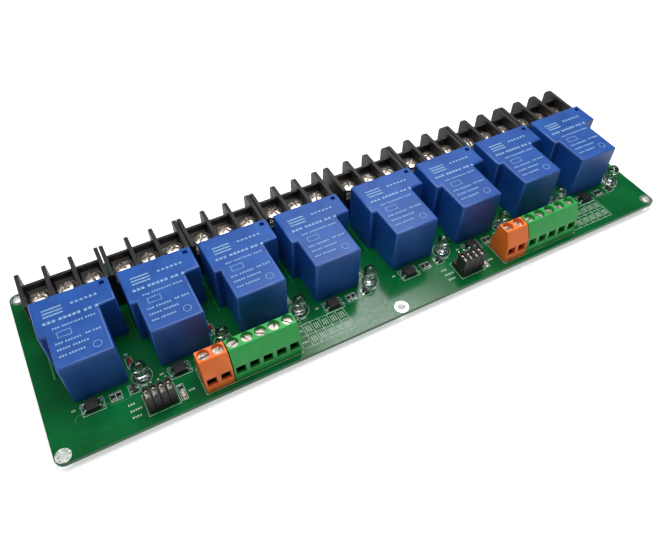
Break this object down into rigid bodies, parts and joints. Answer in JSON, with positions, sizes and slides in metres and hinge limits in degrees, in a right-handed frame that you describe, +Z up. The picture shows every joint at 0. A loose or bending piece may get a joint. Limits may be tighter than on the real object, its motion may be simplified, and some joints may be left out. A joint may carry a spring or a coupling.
{
  "type": "relay module board",
  "caption": "Long circuit board with a row of power relays, a screw barrier block behind each, indicator lights and driver parts before them, and screw input terminals along the front edge.",
  "frame": {"origin": "centre of the corner mounting holes, on the underside of the board", "axes": "+X along the board, +Y from the input terminals towards the barrier blocks, +Z up through the board"},
  "size_m": [0.26, 0.0772, 0.0244],
  "materials": {
    "circuit_board": "glossy green solder mask over glass fibre",
    "plated_rims": "tinned copper",
    "relay_case": "moulded blue plastic, satin",
    "tinned_legs": "tinned copper",
    "barrier_plastic": "moulded black plastic, satin",
    "plated_brass": "nickel plated brass",
    "screw_steel": "zinc plated steel",
    "orange_housing": "moulded orange plastic",
    "green_housing": "moulded green plastic",
    "black_plastic": "moulded black plastic",
    "header_metal": "tinned brass",
    "clear_lens": "clear epoxy",
    "chip_plastic": "moulded black epoxy",
    "diode_glass": "red glass tube",
    "resistor_black": "coated ceramic",
    "power_led_body": "pale pink resin",
    "solder": "solder"
  },
  "bodies": {
    "root": {"board": "circuit_board", "hole_rims": "plated_rims", "relay_1": "relay_case", "relay_2": "relay_case", "relay_3": "relay_case", "relay_4": "relay_case", "relay_5": "relay_case", "relay_6": "relay_case", "relay_7": "relay_case", "relay_8": "relay_case", "relay_pins": "tinned_legs", "barrier_block_1": "barrier_plastic", "barrier_block_2": "barrier_plastic", "barrier_block_3": "barrier_plastic", "barrier_block_4": "barrier_plastic", "barrier_block_5": "barrier_plastic", "barrier_block_6": "barrier_plastic", "barrier_block_7": "barrier_plastic", "barrier_block_8": "barrier_plastic", "barrier_contacts": "plated_brass", "barrier_clamps": "screw_steel", "barrier_screws": "screw_steel", "supply_terminal_1": "orange_housing", "supply_terminal_2": "orange_housing", "input_terminal_1": "green_housing", "input_terminal_2": "green_housing", "terminal_cages": "plated_brass", "terminal_screws": "screw_steel", "terminal_pins": "tinned_legs", "header_base_1": "black_plastic", "header_base_2": "black_plastic", "header_pins_1": "header_metal", "header_pins_2": "header_metal", "jumper_caps_1": "black_plastic", "jumper_caps_2": "black_plastic", "jumper_clips": "header_metal", "led_1": "clear_lens", "led_2": "clear_lens", "led_3": "clear_lens", "led_4": "clear_lens", "led_5": "clear_lens", "led_6": "clear_lens", "led_7": "clear_lens", "led_8": "clear_lens", "led_leads": "tinned_legs", "optocouplers": "chip_plastic", "optocoupler_leads": "tinned_legs", "transistors": "chip_plastic", "transistor_leads": "tinned_legs", "flyback_diodes": "diode_glass", "diode_caps": "tinned_legs", "resistors": "resistor_black", "resistor_caps": "tinned_legs", "power_leds": "power_led_body", "solder_joints": "solder"}
  },
  "joints": []
}
